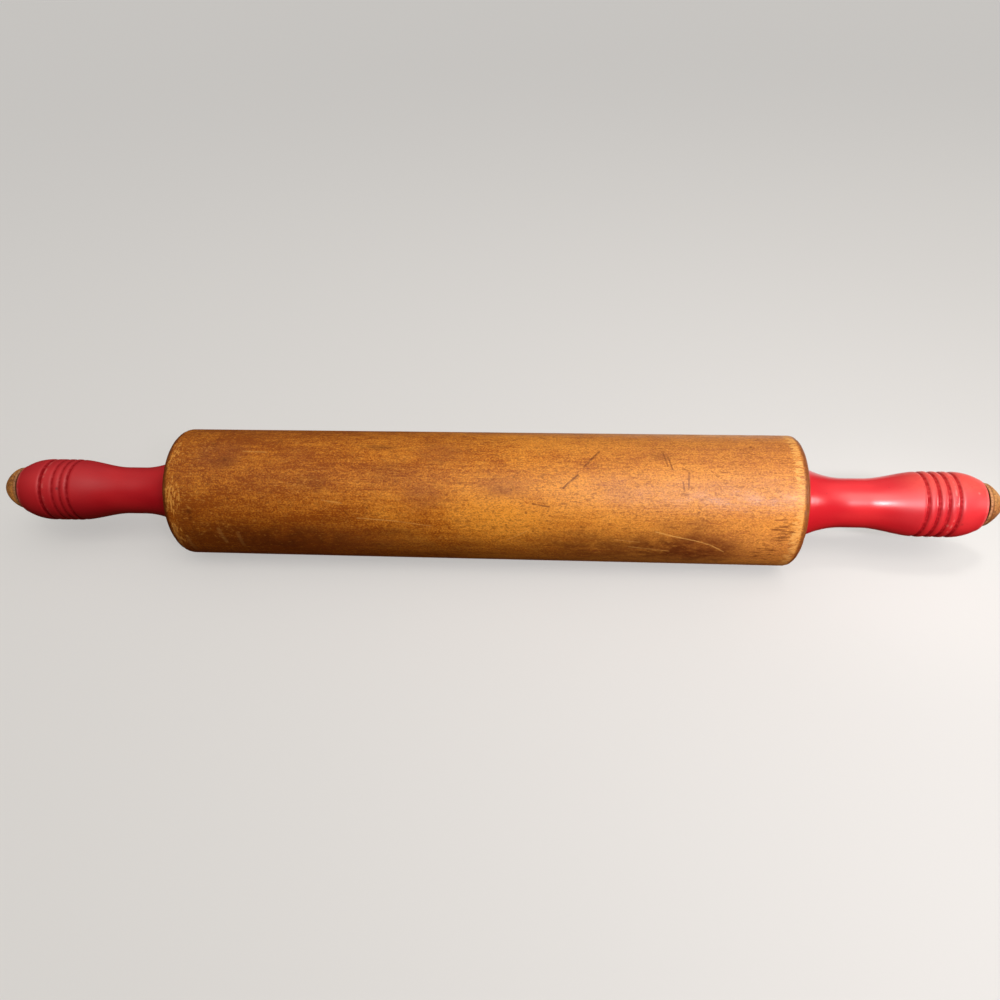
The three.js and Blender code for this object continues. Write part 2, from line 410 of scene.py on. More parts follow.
def makeRollerShape():
    shape = rollerShape
    roundSize = shape["edgeRound"]
    inner = rollerRadius - roundSize
    seat, bore = shape["seatRadius"], shape["boreRadius"]
    rightEdge = []
    for angle in spread(0, 90, shape["edgeSteps"]):
        turn = math.radians(angle)
        along = rollerHalf - roundSize + roundSize * math.sin(turn)
        rightEdge.append((along, inner + roundSize * math.cos(turn)))
    leftEdge = [(-along, radius) for along, radius in reversed(rightEdge)]
    straight = 2 * (rollerHalf - roundSize)
    body = spread(-straight / 2, straight / 2, round(straight / shape["rowStep"]))[1:-1]
    face = spread(seat, inner, shape["faceSteps"])
    leftFace = [(-rollerHalf, radius) for radius in face[:-1]]
    rightFace = [(rollerHalf, radius) for radius in reversed(face[:-1])]
    outside = leftFace + leftEdge + [(along, rollerRadius) for along in body] + rightEdge + rightFace
    floor = rollerHalf - shape["seatDepth"]
    inside = [(floor, seat), (floor, bore), (-floor, bore), (-floor, seat)]
    piece = turnedPiece("roller_wood", outside, inside, shape["sides"], rollerWear)
    for name in ("plumStains", "darkStainsAndShade", "tornGrain", "paleAreas", "paleFlecks", "rubbedEdge"):
        markVertices(piece, name, lambda along, angle: stainDepth(rollerLook[name], along, angle))
    markVertices(piece, "rubbedBand", rubbedBandDepth)
    return piece


def markMask(tree, skin, scratches, spots=()):
    # each mark joins the mask as soon as it is made, which keeps the shader small
    total = 0.0
    for points, width, strength in scratches:
        ends = [skinPoint(*point) for point in points]
        for start, end in zip(ends, ends[1:]):
            run = end - start
            fromStart = vectorCalc(tree, "SUBTRACT", skin, start)
            share = vectorCalc(tree, "DOT_PRODUCT", fromStart, run / run.length_squared)
            held = calc(tree, "ADD", share, 0.0, clamp=True)
            nearest = addNode(tree, "VectorMath", {0: run, "Scale": held}, operation="SCALE").outputs[0]
            away = vectorCalc(tree, "DISTANCE", fromStart, nearest)
            mask = softStep(tree, away, width * millimetre, 0.25 * width * millimetre, 0.0, strength)
            total = calc(tree, "MAXIMUM", mask, total)
    for along, angle, size, strength in spots:
        away = vectorCalc(tree, "DISTANCE", skin, skinPoint(along, angle))
        mask = softStep(tree, away, size * millimetre, 0.2 * size * millimetre, 0.0, strength)
        total = calc(tree, "MAXIMUM", mask, total)
    return total


def makeRollerWood():
    look = rollerLook
    material, tree, shader = startMaterial("rollerWood")
    spot, along, around = pinSpot(tree)
    turned = calc(tree, "WRAP", around, 1.75 * math.pi, -0.25 * math.pi)
    arc = times(tree, turned, rollerRadius)
    skin = addNode(tree, "CombineXYZ", {0: along, 1: arc}).outputs[0]
    reach = calc(tree, "ABSOLUTE", along)

    sizes = look["grain"]
    broad, mottle, band, streak, pores, coarsePores = (
        grain(tree, spot, *sizes[name])
        for name in ("broad", "mottle", "band", "streak", "pores", "coarsePores")
    )
    lathe = grain(tree, skin, *sizes["lathe"])
    sand = grain(tree, spot, *sizes["sand"])

    # tone of the bare wood, 0.5 on average
    leftTone, middleTone, rightTone = look["drift"]
    tone = softStep(tree, along, -0.08, 0.015, leftTone, middleTone)
    tone = calc(tree, "ADD", tone, softStep(tree, along, 0.06, 0.10, 0.0, rightTone - middleTone))
    tone = calc(tree, "MULTIPLY_ADD", vertexMark(tree, "paleAreas"), 0.10, tone)
    weights = (*look["toneWeights"], softStep(tree, along, *look["latheWeight"]))
    for layer, weight in zip((broad, mottle, band, streak, pores, sand, lathe), weights):
        tone = calc(tree, "MULTIPLY_ADD", calc(tree, "SUBTRACT", layer, 0.5), weight, tone)
    stops = [(0.34, look["russet"]), (0.47, look["tan"]), (0.62, look["gold"]), (0.80, look["honey"])]
    colour = colourRamp(tree, tone, stops)
    # a paler, greyer tint towards the right end is painted sheen
    sheenTintShare = softStep(tree, along, 0.0, 0.11, 0.0, look["sheenTintRight"])
    colour = blendColour(tree, sheenTintShare, colour, look["sheenTint"])

    broken = softStep(tree, mottle, *look["stainBreaks"])
    plumShare = times(tree, vertexMark(tree, "plumStains"), broken)
    colour = blendColour(tree, plumShare, colour, look["plum"])
    # the dark stains also paint shade along the lower front
    darkStainShadeShare = times(tree, vertexMark(tree, "darkStainsAndShade"), broken)
    colour = blendColour(tree, darkStainShadeShare, colour, look["umber"])

    # dirt in the pores, thicker where the wood is blotched
    dense = calc(tree, "MULTIPLY_ADD", mottle, 0.22, pores)
    poreShare = softStep(tree, dense, *look["poreDirt"])
    colour = blendColour(tree, poreShare, colour, look["pore"])
    denseCoarse = calc(tree, "MULTIPLY_ADD", mottle, 0.30, coarsePores)
    coarseShare = softStep(tree, denseCoarse, *look["coarseDirt"])
    colour = blendColour(tree, coarseShare, colour, look["pore"])
    flecks = grain(tree, spot, *sizes["flecks"])
    fleckReach = calc(tree, "MULTIPLY_ADD", vertexMark(tree, "paleFlecks"), 0.07, flecks)
    fleckShare = softStep(tree, fleckReach, *look["fleckCover"])
    colour = blendColour(tree, fleckShare, colour, look["fleck"])

    # torn grain shows as dark streaks towards both ends
    torn = grain(tree, spot, *sizes["torn"])
    tornReach = calc(tree, "MULTIPLY_ADD", vertexMark(tree, "tornGrain"), 0.30, torn)
    tornShare = softStep(tree, tornReach, *look["tornCover"])
    colour = blendColour(tree, tornShare, colour, look["umber"])

    darkMarks = markMask(tree, skin, look["darkScratches"], look["spots"])
    paleMarks = markMask(tree, skin, look["paleScratches"])
    worn = softStep(tree, coarsePores, *look["markBreaks"])
    colour = blendColour(tree, times(tree, darkMarks, worn), colour, look["umber"])
    colour = blendColour(tree, times(tree, paleMarks, worn), colour, look["bare"])

    # the right edge is rubbed bare in a ragged band and the left one in flecks; both turn darker beyond that,
    # towards the end faces
    chips = grain(tree, spot, *sizes["chips"])
    kept = calc(tree, "SUBTRACT", 1.0, vertexMark(tree, "rubbedEdge"))
    keptMore = calc(tree, "ADD", kept, 0.22)
    chipShare = softStep(tree, softStep(tree, chips, 0.30, 0.70), kept, keptMore, 0.0, 0.8)
    colour = blendColour(tree, chipShare, colour, look["fleck"])
    ragged = grain(tree, spot, *sizes["ragged"])
    spared = calc(tree, "SUBTRACT", 1.0, vertexMark(tree, "rubbedBand"))
    sparedMore = calc(tree, "ADD", spared, 0.45)
    rimShare = softStep(tree, softStep(tree, ragged, 0.30, 0.70), spared, sparedMore, 0.0, 0.72)
    colour = blendColour(tree, rimShare, colour, look["bare"])
    edgeReach = calc(tree, "MULTIPLY_ADD", ragged, 0.0024, reach)
    darkEndFrom, darkEndFull, darkEndCover = look["darkEndBand"]
    darkEndBand = softStep(tree, edgeReach, rollerHalf + darkEndFrom, rollerHalf + darkEndFull, 0.0, darkEndCover)
    colour = blendColour(tree, darkEndBand, colour, look["umber"])

    # end grain
    rings = vectorCalc(tree, "DISTANCE", vectorCalc(tree, "MULTIPLY", spot, (0, 1, 1)), look["heart"])
    ringWave = calc(tree, "SINE", times(tree, rings, 2 * math.pi / look["ringSpacing"]))
    ringShare = softStep(tree, ringWave, -0.2, 1.0, 0.0, 0.45)
    endColour = blendColour(tree, ringShare, look["endGrain"], look["umber"])
    endShare = softStep(tree, reach, rollerHalf - 0.0003, rollerHalf - 0.0001)
    colour = blendColour(tree, endShare, colour, endColour)

    roughBase = softStep(tree, mottle, 0.3, 0.7, *look["roughness"])
    roughWorn = calc(tree, "MULTIPLY_ADD", rimShare, 0.18, roughBase)
    height = calc(tree, "MULTIPLY_ADD", pores, 0.5, times(tree, streak, 0.7))
    tree.links.new(softStep(tree, along, -0.06, 0.08, *look["gloss"]), shader.inputs["Specular IOR Level"])
    feed(tree, shader, colour, roughWorn, bump(tree, height, 0.5, 0.00015))
    return material


roller = makeRollerShape()
dress(roller, makeRollerWood(), "roller", "roller")
print("roller turned:", len(roller.data.vertices), "vertices")


# the handles follow their solids, apart from groove depths, the rounder end and the sag
handleShape = {
    "foot": 1.8 * millimetre,
    "lipRadius": 14.8 * millimetre,
    "lipRound": 1.6 * millimetre,
    "coveRise": 6.75 * millimetre,
    "neckStart": 21 * millimetre,
    "neckEnd": 28 * millimetre,
    "neckRadius": 10.1 * millimetre,
    "bellyStart": 51.5 * millimetre,
    "bellyEnd": 62 * millimetre,
    "bellyRadius": 13.34 * millimetre,
    "domeReach": 17.5 * millimetre,
    "end": 73.2 * millimetre,
    "endRound": 0.9 * millimetre,
    "boreRadius": 4.45 * millimetre,
    # turned grooves: station and depth in mm
    "grooves": {
        "left": [(48.8, 0.40), (51.9, 0.34), (55.3, 0.34), (60.8, 0.52)],
        "right": [(49.2, 0.56), (53.2, 0.60), (57.0, 0.60), (61.2, 0.54)],
    },
    "grooveHalfWidth": 1.45,
    # the loose handles sag on the axle: by how many mm at the foot and at the end
    "sag": {"left": (0.10, 0.40), "right": (0.39, 0.40)},
    "sides": 144,
    "rowStep": 0.42 * millimetre,
    "lipSteps": 6,
    "endSteps": 4,
    "unevenness": 0.04 * millimetre,
    "unevenNoise": (0.012, 5.3),  # size and seed
}

paintLook = {
    "red": (0.60, 0.015, 0.021),
    "deepRed": (0.49, 0.008, 0.015),
    "grime": (0.26, 0.003, 0.007),
    # painted shade for the gap between the handle's end and the tip
    "gapShade": (0.05, 0.008, 0.005),
    "scuffed": (0.72, 0.16, 0.14),
    # painted light and sheen for the top of the right belly
    "topLitRed": (0.76, 0.13, 0.085),
    "topLitGrip": (0.162, 0.178, 0.0, 0.38),  # on top of the right belly: begins, full and cover
    "topLitAngles": (55, 15),  # degrees from the top where it begins and is full
    "bareWood": (0.50, 0.26, 0.11),
    "roughness": (0.285, 0.315),
    "gripRougher": 0.15,  # the belly is duller than the neck
    "gripStart": (0.034, 0.044),
    "scuffedRidge": 0.0593,  # station of the ridge beside the last groove
    "gloss": 0.56,
    "wallGloss": 0.55,  # the right handle's grooves still shine on their walls
    # small marks: along in mm, angle in degrees, size in mm and strength
    "pits": [
        (-179.7, 55.4, 1.0, 0.9), (183.4, 10.3, 0.8, 0.8), (175.1, 25.1, 0.8, 0.8), (162.5, 20.5, 0.6, 0.7),
        (-160.0, 210.0, 0.9, 0.8), (170.0, 240.0, 1.0, 0.8), (190.0, 93.0, 0.8, 0.5),
        (-176.0, 300.0, 0.8, 0.8),
    ],
    "scuffs": [
        (195.5, 35.2, 0.8, 0.8), (184.8, 97.0, 0.8, 0.5), (-190.0, 190.0, 1.0, 0.6), (186.0, 280.0, 0.9, 0.7),
    ],
    # rows as for the roller
    "grain": {
        "clouds": (0.012, 1.5, 1, 0.4),
        "fine": (0.0014, 1.5, 4, 0.65, 6.0),
        "specks": (0.0016, 1.0, 2, 0.5, 17.0),
        "brush": (0.0006, 0.35, 2, 0.5, 9.0),
    },
}


def plainHandleRadius(station):
    shape = handleShape
    if station < shape["neckStart"]:
        return shape["neckRadius"] + shape["coveRise"] * (1 - station / shape["neckStart"]) ** 2
    if station < shape["bellyStart"]:
        swell = float(ease(station, shape["neckEnd"], shape["bellyStart"]))
        return shape["neckRadius"] + (shape["bellyRadius"] - shape["neckRadius"]) * swell
    domePart = max(0, station - shape["bellyEnd"]) / shape["domeReach"]
    return shape["bellyRadius"] * math.sqrt(1 - domePart ** 2)


def grooveCut(station, grooves):
    # depth of the grooves in mm at stations in mm
    cut = 0.0
    for place, depth in grooves:
        away = np.minimum(np.abs(station - place) / handleShape["grooveHalfWidth"], 1)
        cut = np.maximum(cut, depth * np.cos(away * math.pi / 2) ** 2)
    return cut


def handleWear(along, around, radius):
    return handleShape["unevenness"] * (1 + ripple(along, around, radius, *handleShape["unevenNoise"])) / 2


def makeHandleShape(side, sign):
    shape = handleShape
    grooves = shape["grooves"][side]
    lipRound, bore = shape["lipRound"], shape["boreRadius"]
    lipStation = shape["foot"] + lipRound
    lipInner = shape["lipRadius"] - lipRound
    rows = [(shape["foot"], radius) for radius in spread(bore, lipInner, 5)[1:-1]]
    for angle in spread(0, 90, shape["lipSteps"]):
        turn = math.radians(angle)
        rows.append((lipStation - lipRound * math.cos(turn), lipInner + lipRound * math.sin(turn)))
    roundStation = shape["end"] - shape["endRound"]
    steps = round((roundStation - lipStation) / shape["rowStep"])
    for station in spread(lipStation, roundStation, steps)[1:]:
        cut = float(grooveCut(station / millimetre, grooves)) * millimetre
        rows.append((station, plainHandleRadius(station) - cut))
    rimRadius, endRound = rows[-1][1], shape["endRound"]
    for angle in spread(0, 90, shape["endSteps"])[1:]:
        turn = math.radians(angle)
        rows.append((roundStation + endRound * math.sin(turn), rimRadius - endRound * (1 - math.cos(turn))))
    rows += [(shape["end"], radius) for radius in spread(rimRadius - endRound, bore, 3)[1:-1]]
    outside = [(sign * (rollerHalf + station), radius) for station, radius in rows]
    inside = [(sign * (rollerHalf + station), bore) for station in (shape["end"], shape["foot"])]
    piece = turnedPiece(f"{side}_handle_paint", outside, inside, shape["sides"], handleWear)
    # how deep in a groove each spot lies, for the grime that collects there
    footPlane = rollerHalf / millimetre
    markVertices(piece, "groove", lambda along, angle: grooveCut(abs(along) - footPlane, grooves))
    footSag, endSag = (sag * millimetre for sag in shape["sag"][side])
    droop = Matrix.Rotation(sign * (endSag - footSag) / (shape["end"] - shape["foot"]), 4, "Y")
    foot = Matrix.Translation((sign * (rollerHalf + shape["foot"]), 0, axleHeight))
    piece.data.transform(Matrix.Translation((0, 0, -footSag)) @ foot @ droop @ foot.inverted())
    return piece


def paintSpots(tree, spot, spots):
    total = 0.0
    for along, angle, size, strength in spots:
        radius = plainHandleRadius(abs(along) * millimetre - rollerHalf)
        turn = math.radians(angle)
        place = (along * millimetre, -radius * math.sin(turn), radius * math.cos(turn))
        away = vectorCalc(tree, "DISTANCE", spot, place)
        mask = softStep(tree, away, size * millimetre, 0.3 * size * millimetre, 0.0, strength)
        total = calc(tree, "MAXIMUM", mask, total)
    return total


def makeRedPaint():
    look = paintLook
    material, tree, shader = startMaterial("redPaint")
    spot, along, around = pinSpot(tree)
    station = calc(tree, "SUBTRACT", calc(tree, "ABSOLUTE", along), rollerHalf)
    names = ("clouds", "fine", "specks", "brush")
    clouds, fine, specks, brush = (grain(tree, spot, *look["grain"][name]) for name in names)
    colour = blendColour(tree, softStep(tree, clouds, 0.3, 0.7), look["deepRed"], look["red"])
    # painted light and sheen make the top of the right belly paler
    onTop = softStep(tree, calc(tree, "ABSOLUTE", around), *np.radians(look["topLitAngles"]).tolist())
    onRightGrip = softStep(tree, along, *look["topLitGrip"])
    topLitShare = times(tree, onTop, onRightGrip)
    topLitShare = times(tree, topLitShare, softStep(tree, fine, 0.3, 0.6, 0.7, 1.1))
    colour = blendColour(tree, topLitShare, colour, look["topLitRed"])
    grooveDepth = vertexMark(tree, "groove")
    inGroove = softStep(tree, grooveDepth, 0.08, 0.42)
    offFloor = softStep(tree, grooveDepth, 0.44, 0.28)
    onWall = times(tree, softStep(tree, grooveDepth, 0.02, 0.10), offFloor)
    onWall = times(tree, onWall, softStep(tree, along, -0.001, 0.001))
    grimeShare = times(tree, inGroove, softStep(tree, fine, 0.3, 0.6, 0.45, 0.9))
    colour = blendColour(tree, grimeShare, colour, look["grime"])
    # ridges beside the grooves are scuffed in places
    fromRidge = calc(tree, "ABSOLUTE", calc(tree, "SUBTRACT", station, look["scuffedRidge"]))
    onRidge = softStep(tree, fromRidge, 0.0006, 0.0001)
    ridgeShare = times(tree, onRidge, softStep(tree, fine, 0.46, 0.62, 0.0, 0.6))
    scuffShare = calc(tree, "MAXIMUM", ridgeShare, paintSpots(tree, spot, look["scuffs"]))
    colour = blendColour(tree, scuffShare, colour, look["scuffed"])
    speckShare = softStep(tree, specks, 0.74, 0.80, 0.0, 0.8)
    speckShare = calc(tree, "MAXIMUM", speckShare, paintSpots(tree, spot, look["pits"]))
    colour = blendColour(tree, speckShare, colour, look["grime"])
    # the foot's rim is rubbed through to the wood in places, and painted shade darkens the gap beside the tip
    footRim = softStep(tree, station, handleShape["foot"] + 0.0012, handleShape["foot"] + 0.0002)
    chipShare = times(tree, footRim, softStep(tree, fine, 0.56, 0.64))
    colour = blendColour(tree, chipShare, colour, look["bareWood"])
    endReach = calc(tree, "MULTIPLY_ADD", fine, 0.0005, station)
    fromRim = calc(tree, "ABSOLUTE", calc(tree, "SUBTRACT", endReach, handleShape["end"] - 0.0006))
    rimRub = softStep(tree, fine, 0.4, 0.6, 0.15, 0.5)
    rimShare = times(tree, softStep(tree, fromRim, 0.0007, 0.0002), rimRub)
    colour = blendColour(tree, rimShare, colour, look["scuffed"])
    gapShadeShare = softStep(tree, endReach, handleShape["end"] - 0.0001, handleShape["end"] + 0.0002, 0.0, 0.95)
    colour = blendColour(tree, gapShadeShare, colour, look["gapShade"])
    rough = softStep(tree, clouds, 0.3, 0.75, *look["roughness"])
    rough = calc(tree, "ADD", rough, softStep(tree, station, *look["gripStart"], 0.0, look["gripRougher"]))
    rough = calc(tree, "SUBTRACT", rough, times(tree, onWall, look["gripRougher"]))
    roughGrimy = calc(tree, "MULTIPLY_ADD", calc(tree, "MAXIMUM", grimeShare, chipShare), 0.2, rough)
    dulled = calc(tree, "MAXIMUM", grimeShare, gapShadeShare)
    height = calc(tree, "MULTIPLY_ADD", fine, 0.4, times(tree, brush, 0.25))
    chipped = calc(tree, "SUBTRACT", height, calc(tree, "MAXIMUM", chipShare, speckShare))
    glossLeft = softStep(tree, dulled, 0.0, 0.9, look["gloss"], 0.08)
    glossLeft = calc(tree, "MULTIPLY_ADD", onWall, look["wallGloss"], glossLeft)
    tree.links.new(glossLeft, shader.inputs["Specular IOR Level"])
    feed(tree, shader, colour, roughGrimy, bump(tree, chipped, 0.2, 0.0001))
    return material


redPaint = makeRedPaint()
for side, sign in (("left", -1), ("right", 1)):
    handle = makeHandleShape(side, sign)
    dress(handle, redPaint, f"{side}_handle", f"{side}_handle")
    print(side, "handle turned:", len(handle.data.vertices), "vertices")


# the tips are a little slimmer and shorter than their solids
tipShape = {
    "start": 74.2 * millimetre,
    "radius": {"left": 9.2 * millimetre, "right": 9.0 * millimetre},
    "collar": 1.5 * millimetre,
    "collarRound": 0.5 * millimetre,
    "collarGroove": (0.5 * millimetre, 0.22 * millimetre),  # half width and depth
    "height": {"left": 9.0 * millimetre, "right": 8.5 * millimetre},
    "roundness": {"left": 1.4, "right": 1.25},
    "recess": (7.7 * millimetre, 75.0 * millimetre),
    "socket": (4.92 * millimetre, 79.2 * millimetre),
    "hole": (2.8 * millimetre, 80.5 * millimetre),
    "sides": 112,
    "collarSteps": 6,
    "domeSteps": 44,
    "unevenness": 0.16 * millimetre,
    "roughNoise": (0.003, 12.9),  # size and seed
    "flatNoise": (0.009, 4.4),
    "tilt": {"left": 2.0, "right": 1.0},  # degrees that each tip droops on its stud
    "lift": {"left": 0.2 * millimetre, "right": -0.1 * millimetre},
}

tipLook = {
    "tan": (0.42, 0.150, 0.036),
    # brown also paints the shade under the right tip
    "brown": (0.23, 0.072, 0.016),
    # dark brown for dirt, and for the painted shade in the gap and the collar's groove
    "dirtAndShade": (0.07, 0.020, 0.006),
    # painted light on the left tip
    "litPale": (0.80, 0.33, 0.072),
    # golden specks, and the painted light on top of the right tip
    "golden": (0.62, 0.32, 0.10),
    "collar": (0.46, 0.20, 0.092),
    "leftLitCover": (0.35, 1.0),  # painted light makes the left tip paler, above and below
    "roughness": (0.55, 0.8),
    "gloss": 0.25,
    # rows as for the roller
    "grain": {
        "clouds": (0.006, 1.5, 4, 0.6),
        "streak": (0.0008, 6.0, 3, 0.6, 4.0),
        "fine": (0.0011, 1.4, 4, 0.75, 9.0),
        "grit": (0.0008, 1.3, 2, 0.6, 14.0),
    },
}


def tipWear(along, around, radius):
    rough = (1 + ripple(along, around, radius, *tipShape["roughNoise"])) / 2
    flats = (1 + ripple(along, around, radius, *tipShape["flatNoise"])) / 2
    return tipShape["unevenness"] * (0.5 * rough + 0.5 * flats) * min(1, radius / tipShape["radius"]["right"])


def makeTipShape(side, sign):
    shape = tipShape
    power = 2 / shape["roundness"][side]
    radius, height = shape["radius"][side], shape["height"][side]
    domeStart = shape["start"] + shape["collar"]
    cornerRound = shape["collarRound"]
    grooveHalf, grooveDepth = shape["collarGroove"]
    plain, start = [], shape["start"]
    for angle in spread(0, 90, 4):
        turn = math.radians(angle)
        station = start + cornerRound * (1 - math.cos(turn))
        plain.append((station, radius - cornerRound * (1 - math.sin(turn))))
    collarRows = spread(start + cornerRound, domeStart, shape["collarSteps"])[1:-1]
    plain += [(station, radius) for station in collarRows]
    for angle in spread(0, 90, shape["domeSteps"])[:-1]:
        turn = math.radians(angle)
        plain.append((domeStart + height * math.sin(turn) ** power, radius * math.cos(turn) ** power))
    rows = []
    for station, reach in plain:
        cut = grooveDepth * max(0, 1 - ((station - domeStart) / grooveHalf) ** 2)
        rows.append((station, reach - cut))
    rows.append((domeStart + height, 0))
    (holeRadius, holeFloor), (socketRadius, socketFloor) = shape["hole"], shape["socket"]
    recessRadius, recessFloor = shape["recess"]
    inner = [(holeFloor, 0), (holeFloor, holeRadius), (socketFloor, holeRadius), (socketFloor, socketRadius)]
    inner += [(recessFloor, socketRadius), (recessFloor, recessRadius), (start, recessRadius)]
    outside = [(sign * (rollerHalf + station), radius) for station, radius in rows]
    inside = [(sign * (rollerHalf + station), radius) for station, radius in inner]
    piece = turnedPiece(f"{side}_tip_wood", outside, inside, shape["sides"], tipWear)
    seat = Matrix.Translation((sign * (rollerHalf + start), 0, axleHeight))
    droop = Matrix.Rotation(sign * math.radians(shape["tilt"][side]), 4, "Y")
    lift = Matrix.Translation((0, 0, shape["lift"][side]))
    piece.data.transform(lift @ seat @ droop @ seat.inverted())
    return piece


def makeTipWood():
    look = tipLook
    material, tree, shader = startMaterial("tipWood")
    spot, along, around = pinSpot(tree)
    station = calc(tree, "SUBTRACT", calc(tree, "ABSOLUTE", along), rollerHalf)
    sizes = look["grain"]
    clouds, streak, fine = (grain(tree, spot, *sizes[name]) for name in ("clouds", "streak", "fine"))
    tone = calc(tree, "ADD", times(tree, clouds, 0.6), times(tree, streak, 0.4))
    tone = calc(tree, "MULTIPLY_ADD", calc(tree, "SUBTRACT", fine, 0.5), 0.8, tone)
    colour = blendColour(tree, softStep(tree, tone, 0.38, 0.62), look["brown"], look["tan"])
    # painted light makes the right tip golden above and painted shade makes it brown below, and painted light
    # makes the left one paler, most of all below
    onLeft = softStep(tree, along, 0.001, -0.001)
    low = softStep(tree, around, math.radians(30), math.radians(100))
    lowLeft = times(tree, low, onLeft)
    litTopShare = softStep(tree, calc(tree, "MAXIMUM", low, onLeft), 1.0, 0.0, 0.0, 0.6)
    litTopShare = times(tree, litTopShare, softStep(tree, fine, 0.36, 0.58, 0.35, 1.0))
    colour = blendColour(tree, litTopShare, colour, look["golden"])
    shadedUnderShare = times(tree, calc(tree, "SUBTRACT", low, lowLeft), 0.5)
    colour = blendColour(tree, shadedUnderShare, colour, look["brown"])
    leftLitShare = times(tree, onLeft, softStep(tree, low, 0.0, 1.0, *look["leftLitCover"]))
    colour = blendColour(tree, leftLitShare, colour, look["litPale"])
    collarEnd = tipShape["start"] + tipShape["collar"]
    onCollar = softStep(tree, station, collarEnd - 0.0002, collarEnd - 0.0006, 0.0, 0.8)
    colour = blendColour(tree, onCollar, colour, look["collar"])
    grit = grain(tree, spot, *sizes["grit"])
    colour = blendColour(tree, softStep(tree, grit, 0.50, 0.62, 0.0, 0.4), colour, look["golden"])
    colour = blendColour(tree, softStep(tree, grit, 0.46, 0.34, 0.0, 0.4), colour, look["dirtAndShade"])
    dirtAndShadeShare = calc(tree, "MULTIPLY_ADD", streak, 0.35, times(tree, fine, 0.65))
    dirtAndShadeShare = softStep(tree, dirtAndShadeShare, 0.48, 0.60, 0.0, 0.68)
    # less dirt low on the left tip, as part of its painted light
    dirtAndShadeShare = times(tree, dirtAndShadeShare, softStep(tree, lowLeft, 0.0, 1.0, 1.0, 0.4))
    # painted shade darkens the collar's groove and the gap beside the handle
    fromGroove = calc(tree, "ABSOLUTE", calc(tree, "SUBTRACT", station, collarEnd))
    inGroove = softStep(tree, fromGroove, 0.0006, 0.0001, 0.0, 0.6)
    inGroove = times(tree, inGroove, softStep(tree, onLeft, 0.0, 1.0, 1.0, 0.3))
    tipGapShade = softStep(tree, station, tipShape["start"] + 0.0005, tipShape["start"] + 0.0001, 0.0, 0.95)
    dirtAndShadeShare = calc(tree, "MAXIMUM", dirtAndShadeShare, calc(tree, "MAXIMUM", tipGapShade, inGroove))
    colour = blendColour(tree, dirtAndShadeShare, colour, look["dirtAndShade"])
    rough = softStep(tree, clouds, 0.3, 0.7, *look["roughness"])
    shader.inputs["Specular IOR Level"].default_value = look["gloss"]
    height = calc(tree, "ADD", times(tree, streak, 0.6), fine)
    feed(tree, shader, colour, rough, bump(tree, height, 0.5, 0.0002))
    return material


tipWood = makeTipWood()
for side, sign in (("left", -1), ("right", 1)):
    tip = makeTipShape(side, sign)
    dress(tip, tipWood, "axle", f"{side}_tip")
    print(side, "tip turned:", len(tip.data.vertices), "vertices")


# the hardware inside keeps its solids and only gets a finish
hardwareLook = {
    "steel": {
        "nodes": ["axle", "left_nut", "right_nut"],
        "bright": (0.52, 0.52, 0.53),
        "dull": (0.30, 0.29, 0.28),
        "metal": 1.0,
        "rough": (0.28, 0.5),
    },
    # the end washers are darkened, partly as oxide and partly as painted shade in the gap beside the tips
    "oxideAndShadeSteel": {
        "nodes": ["left_end_washer", "right_end_washer"],
        "bright": (0.08, 0.030, 0.014),
        "dull": (0.03, 0.010, 0.005),
        "metal": 1.0,
        "rough": (0.6, 0.8),
    },
    "brass": {
        "nodes": ["left_bush", "right_bush"],
        "bright": (0.60, 0.40, 0.14),
        "dull": (0.32, 0.19, 0.06),
        "metal": 1.0,
        "rough": (0.3, 0.55),
    },
    "fibre": {
        "nodes": ["left_thrust_washer", "right_thrust_washer"],
        "bright": (0.11, 0.05, 0.028),
        "dull": (0.05, 0.022, 0.013),
        "metal": 0.0,
        "rough": (0.65, 0.9),
    },
}


def makeHardwareFinish(name):
    look = hardwareLook[name]
    material, tree, shader = startMaterial(name)
    spot, along, around = pinSpot(tree)
    clouds = grain(tree, spot, 0.004, 1.0, 4, 0.65)
    lines = grain(tree, spot, 0.0003, 12.0, 2, 0.5, 3.0)
    tone = calc(tree, "ADD", times(tree, clouds, 0.6), times(tree, lines, 0.4))
    share = softStep(tree, tone, 0.35, 0.65)
    colour = blendColour(tree, share, look["dull"], look["bright"])
    rough = softStep(tree, clouds, 0.7, 0.3, *look["rough"])
    feed(tree, shader, colour, rough, bump(tree, lines, 0.2, 0.00005))
    shader.inputs["Metallic"].default_value = look["metal"]
    return material


for finish, look in hardwareLook.items():
    material = makeHardwareFinish(finish)
    for node in look["nodes"]:
        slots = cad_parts[node].data.materials
        slots.clear()
        slots.append(material)
print("hardware finished:", sum(len(look["nodes"]) for look in hardwareLook.values()), "nodes")


